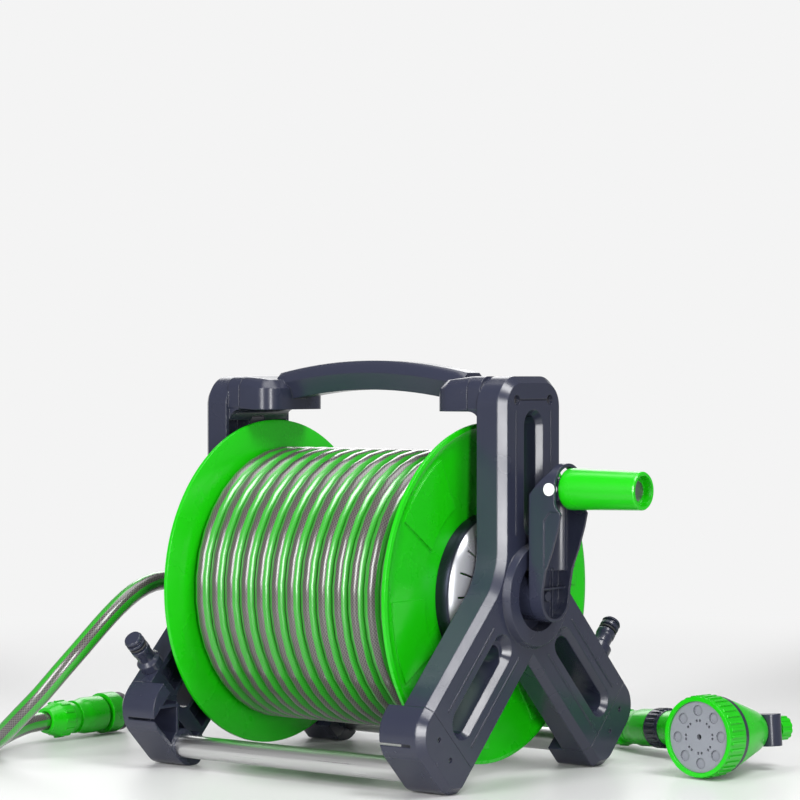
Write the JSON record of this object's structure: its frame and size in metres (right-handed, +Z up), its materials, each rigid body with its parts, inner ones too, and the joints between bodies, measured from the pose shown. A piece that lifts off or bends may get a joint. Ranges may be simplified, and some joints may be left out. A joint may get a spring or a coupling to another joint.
{
  "type": "garden hose reel",
  "caption": "Portable garden hose reel on a tubular stand with carry handle, folding crank, feed hose with tap connector, and a spray gun on the wound hose.",
  "frame": {"origin": "on the floor under the middle of the drum", "axes": "+X along the drum's axis towards the crank, -Y to the front, +Z up"},
  "size_m": [0.6277, 0.452, 0.334],
  "materials": {
    "slate_plastic": "satin moulded slate-blue plastic",
    "green_plastic": "glossy bright green plastic",
    "steel": "plated screws and pins",
    "tube_steel": "brushed stand tubes",
    "black_rubber": "black sealing rubber",
    "hose": "smoky vinyl hose with green stripes",
    "silver_cover": "silver-lacquered hub covers",
    "grey_plate": "grey spray face"
  },
  "bodies": {
    "stand": {"left_side_frame": "slate_plastic", "right_side_frame": "slate_plastic", "left_front_foot": "slate_plastic", "left_rear_foot": "slate_plastic", "right_front_foot": "slate_plastic", "right_rear_foot": "slate_plastic", "foot_screws": "steel", "front_tube": "tube_steel", "rear_tube": "tube_steel", "carry_handle": "slate_plastic", "handle_screws": "steel", "left_parking_spigot": "slate_plastic", "right_parking_spigot": "slate_plastic", "spigot_seals": "black_rubber", "left_bearing": "slate_plastic", "right_bearing": "slate_plastic", "inlet_elbow": "slate_plastic", "inlet_seals": "black_rubber", "inlet_clip": "steel", "inlet_nut": "green_plastic", "feed_hose": "hose", "tap_seal": "black_rubber", "tap_adapter": "green_plastic", "tap_connector": "green_plastic", "tap_nut": "green_plastic", "outlet_hose": "hose", "gun_nut": "green_plastic", "gun_connector": "green_plastic", "gun_inlet": "slate_plastic", "gun_body": "green_plastic", "gun_cover": "slate_plastic", "trigger_pin": "steel", "trigger_spring": "steel", "head_band": "slate_plastic", "spray_seal": "black_rubber"},
    "drum": {"drum_core": "green_plastic", "left_flange": "green_plastic", "right_flange": "green_plastic", "left_hub_cover": "silver_cover", "right_hub_cover": "silver_cover", "water_shaft": "slate_plastic", "drum_outlet": "slate_plastic", "drum_screws": "steel", "wound_hose": "hose", "crank_arm": "slate_plastic", "crank_screw": "steel", "pivot_pin": "steel"},
    "grip_fork": {"grip_spindle": "slate_plastic", "grip_screw": "steel"},
    "grip": {"crank_grip": "green_plastic"},
    "tap_release": {"tap_collar": "green_plastic"},
    "gun_release": {"gun_collar": "green_plastic"},
    "trigger": {"gun_trigger": "slate_plastic"},
    "knob": {"flow_knob": "green_plastic"},
    "dial": {"spray_ring": "green_plastic", "spray_plate": "grey_plate"}
  },
  "joints": [
    {"name": "drum_spin", "type": "hinge", "parent": "stand", "child": "drum", "pos_m": [0, 0, 0.147], "axis": [1, 0, 0], "continuous": true},
    {"name": "grip_fold", "type": "hinge", "parent": "drum", "child": "grip_fork", "pos_m": [0.186, 0, 0.2325], "axis": [0, 1, 0], "range_deg": [0, 90]},
    {"name": "grip_spin", "type": "hinge", "parent": "grip_fork", "child": "grip", "pos_m": [0.2, 0, 0.2325], "axis": [1, 0, 0], "continuous": true},
    {"name": "tap_collar_slide", "type": "slide", "parent": "stand", "child": "tap_release", "axis": [0, -1, 0], "range_m": [0, 0.0025], "stiffness_N_per_m": 2500, "springref_m": -0.0004},
    {"name": "gun_collar_slide", "type": "slide", "parent": "stand", "child": "gun_release", "axis": [-0.9363, 0.3408, -0.0854], "range_m": [0, 0.0025], "stiffness_N_per_m": 2500, "springref_m": -0.0004},
    {"name": "trigger_pull", "type": "hinge", "parent": "stand", "child": "trigger", "pos_m": [0.23873, 0.18925, 0.02915], "axis": [-0.0803, 0.0292, 0.9963], "range_deg": [0, 14], "stiffness_Nm_per_rad": 1.5, "springref_deg": -2.86},
    {"name": "flow_turn", "type": "hinge", "parent": "stand", "child": "knob", "pos_m": [0.27074, 0.18398, 0.03188], "axis": [0.342, 0.9397, 0], "range_deg": [0, 180]},
    {"name": "dial_turn", "type": "hinge", "parent": "stand", "child": "dial", "pos_m": [0.25828, 0.11189, 0.03299], "axis": [-0.0707, -0.9972, 0.0235], "continuous": true}
  ]
}
